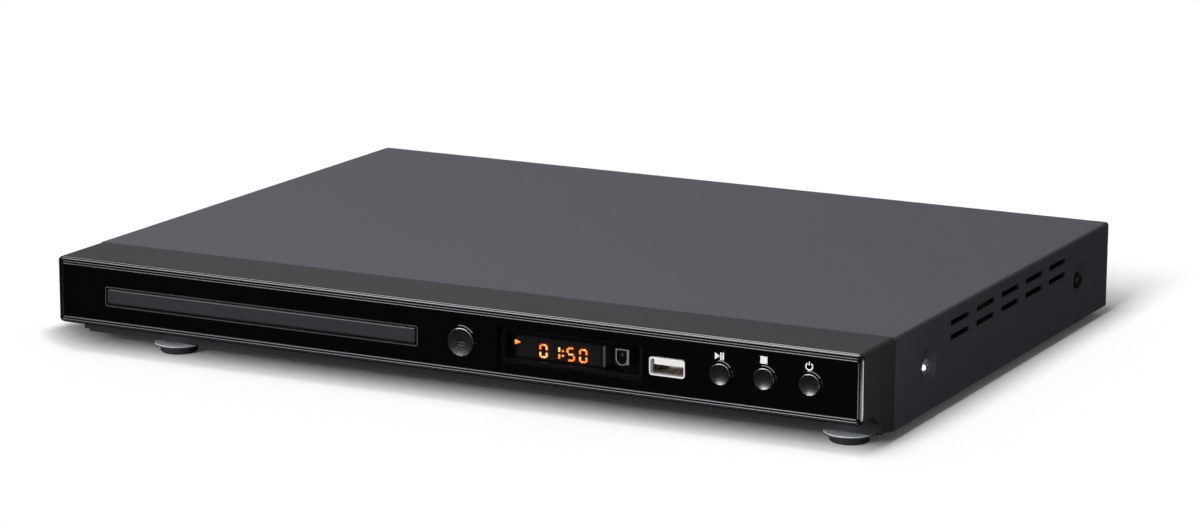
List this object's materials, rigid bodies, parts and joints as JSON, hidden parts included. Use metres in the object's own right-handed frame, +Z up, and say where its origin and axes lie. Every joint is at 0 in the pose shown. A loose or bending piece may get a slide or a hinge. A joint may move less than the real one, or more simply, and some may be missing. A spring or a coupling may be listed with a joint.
{
  "type": "dvd player with tray",
  "caption": "Low black disc player: gloss fascia with motorised disc tray, round push buttons, display and USB socket, folded steel cover with side vents, round feet.",
  "frame": {"origin": "middle of the bounding box's bottom face, on the table under the feet", "axes": "+X to the right seen from the front, +Y towards the back, +Z up"},
  "size_m": [0.32, 0.248, 0.036],
  "materials": {
    "housing_plastic": "fine satin grain",
    "panel_gloss": "high gloss",
    "window_smoke": "smoked, high gloss",
    "bezel_grey": "satin",
    "cover_paint": "fine powder texture",
    "zinc_sheet": "zinc plated",
    "rear_paint": "satin black",
    "bright_screw": "nickel plated",
    "black_screw": "black zinc",
    "foot_metal": "bright anodised",
    "foot_rubber": "matt",
    "board_green": "solder mask",
    "board_brown": "phenolic paper",
    "black_module": "matt",
    "lit_segments": "lit amber",
    "tin_plate": "tinned",
    "switch_body": "matt",
    "nickel_shell": "nickel plated",
    "tray_plastic": "fine satin",
    "door_plastic": "satin",
    "chassis_plastic": "matt",
    "acetal": "natural white",
    "motor_steel": "drawn can",
    "belt_rubber": "matt",
    "rod_steel": "ground",
    "pad_rubber": "matt",
    "lens_glass": "coated",
    "brass_gear": "machined",
    "chip_black": "matt",
    "socket_black": "matt",
    "transformer_tape": "tape",
    "can_sleeve": "shrink sleeve",
    "fin_aluminium": "extruded",
    "ribbon_white": "flat cable",
    "button_gloss": "gloss",
    "bridge_steel": "zinc plated"
  },
  "bodies": {
    "case": {"front_housing": "housing_plastic", "fascia_panel": "panel_gloss", "display_window": "window_smoke", "tray_bezel": "bezel_grey", "top_cover": "cover_paint", "base_pan": "zinc_sheet", "rear_panel": "rear_paint", "side_screws": "bright_screw", "rear_side_screws": "black_screw", "rear_screws": "black_screw", "foot_flanges": "foot_metal", "foot_pads": "foot_rubber", "front_board": "board_green", "display_module": "black_module", "display_digits": "lit_segments", "ir_receiver": "tin_plate", "tact_switches": "switch_body", "usb_shell": "nickel_shell", "usb_tongue": "acetal", "loader_chassis": "chassis_plastic", "loader_screws": "bright_screw", "clamp_bridge": "bridge_steel", "bridge_screws": "bright_screw", "loading_motor": "motor_steel", "drive_belt": "belt_rubber", "deck_pins": "rod_steel", "main_board": "board_green", "main_chips": "chip_black", "av_sockets": "socket_black", "hdmi_socket": "nickel_shell", "board_screws": "bright_screw", "power_board": "board_brown", "transformer": "transformer_tape", "capacitors": "can_sleeve", "heat_sink": "fin_aluminium", "mains_inlet": "socket_black", "front_ribbon": "ribbon_white"},
    "disc_tray": {"tray": "tray_plastic", "tray_door": "door_plastic"},
    "tray_gear_body": {"tray_gear": "acetal"},
    "pulley_gear_body": {"pulley_gear": "acetal"},
    "motor_pulley_body": {"motor_pulley": "acetal"},
    "cam_slider_body": {"cam_slider": "acetal"},
    "deck": {"deck_frame": "chassis_plastic", "spindle_motor": "motor_steel", "guide_rods": "rod_steel", "sled_motor": "motor_steel"},
    "spindle": {"turntable": "chassis_plastic", "turntable_pad": "pad_rubber"},
    "clamper_body": {"clamper": "acetal"},
    "sled": {"pickup_sled": "chassis_plastic", "lens_holder": "black_module", "objective_lens": "lens_glass"},
    "sled_gear_body": {"sled_gear": "acetal"},
    "sled_pinion_body": {"sled_pinion": "brass_gear"},
    "open_key": {"open_button": "button_gloss"},
    "play_key": {"play_button": "button_gloss"},
    "stop_key": {"stop_button": "button_gloss"},
    "power_key": {"power_button": "button_gloss"}
  },
  "joints": [
    {"name": "tray_slide", "type": "slide", "parent": "case", "child": "disc_tray", "axis": [0, -1, 0], "range_m": [0, 0.138]},
    {"name": "tray_gear_turn", "type": "hinge", "parent": "case", "child": "tray_gear_body", "pos_m": [-0.0231, -0.104, 0.018], "axis": [0, 0, 1], "range_deg": [-990, 0]},
    {"name": "pulley_gear_turn", "type": "hinge", "parent": "case", "child": "pulley_gear_body", "pos_m": [-0.0375, -0.104, 0.017], "axis": [0, 0, 1], "range_deg": [0, 1980]},
    {"name": "motor_pulley_turn", "type": "hinge", "parent": "case", "child": "motor_pulley_body", "pos_m": [-0.12025, -0.0948, 0.016], "axis": [0, 0, 1], "range_deg": [0, 5100]},
    {"name": "deck_tilt", "type": "hinge", "parent": "case", "child": "deck", "pos_m": [-0.07425, 0.032, 0.0172], "axis": [1, 0, 0], "range_deg": [0, 3]},
    {"name": "cam_slide", "type": "slide", "parent": "case", "child": "cam_slider_body", "axis": [1, 0, 0], "range_m": [0, 0.0241]},
    {"name": "spindle_spin", "type": "hinge", "parent": "deck", "child": "spindle", "pos_m": [-0.07425, -0.056, 0.022], "axis": [0, 0, 1], "continuous": true},
    {"name": "clamper_spin", "type": "hinge", "parent": "case", "child": "clamper_body", "pos_m": [-0.07425, -0.056, 0.028], "axis": [0, 0, 1], "continuous": true},
    {"name": "sled_slide", "type": "slide", "parent": "deck", "child": "sled", "axis": [0, 1, 0], "range_m": [0, 0.035]},
    {"name": "sled_gear_turn", "type": "hinge", "parent": "deck", "child": "sled_gear_body", "pos_m": [-0.04495, -0.0197, 0.012], "axis": [0, 0, 1], "range_deg": [-480, 0]},
    {"name": "sled_pinion_turn", "type": "hinge", "parent": "deck", "child": "sled_pinion_body", "pos_m": [-0.03845, -0.00844, 0.012], "axis": [0, 0, 1], "range_deg": [0, 1600]},
    {"name": "open_press", "type": "slide", "parent": "case", "child": "open_key", "axis": [0, 1, 0], "range_m": [0, 0.0008], "stiffness_N_per_m": 300, "springref_m": -0.002},
    {"name": "play_press", "type": "slide", "parent": "case", "child": "play_key", "axis": [0, 1, 0], "range_m": [0, 0.0008], "stiffness_N_per_m": 300, "springref_m": -0.002},
    {"name": "stop_press", "type": "slide", "parent": "case", "child": "stop_key", "axis": [0, 1, 0], "range_m": [0, 0.0008], "stiffness_N_per_m": 300, "springref_m": -0.002},
    {"name": "power_press", "type": "slide", "parent": "case", "child": "power_key", "axis": [0, 1, 0], "range_m": [0, 0.0008], "stiffness_N_per_m": 300, "springref_m": -0.002}
  ],
  "couplings": [
    {"joint": "tray_gear_turn", "follows": "tray_slide", "rad_per_m": -125},
    {"joint": "pulley_gear_turn", "follows": "tray_slide", "rad_per_m": 250},
    {"joint": "motor_pulley_turn", "follows": "tray_slide", "rad_per_m": 644.02},
    {"joint": "cam_slide", "follows": "deck_tilt", "m_per_rad": 0.45837},
    {"joint": "clamper_spin", "follows": "spindle_spin", "ratio": 1},
    {"joint": "sled_gear_turn", "follows": "sled_slide", "rad_per_m": -238.1},
    {"joint": "sled_pinion_turn", "follows": "sled_slide", "rad_per_m": 793.65}
  ]
}
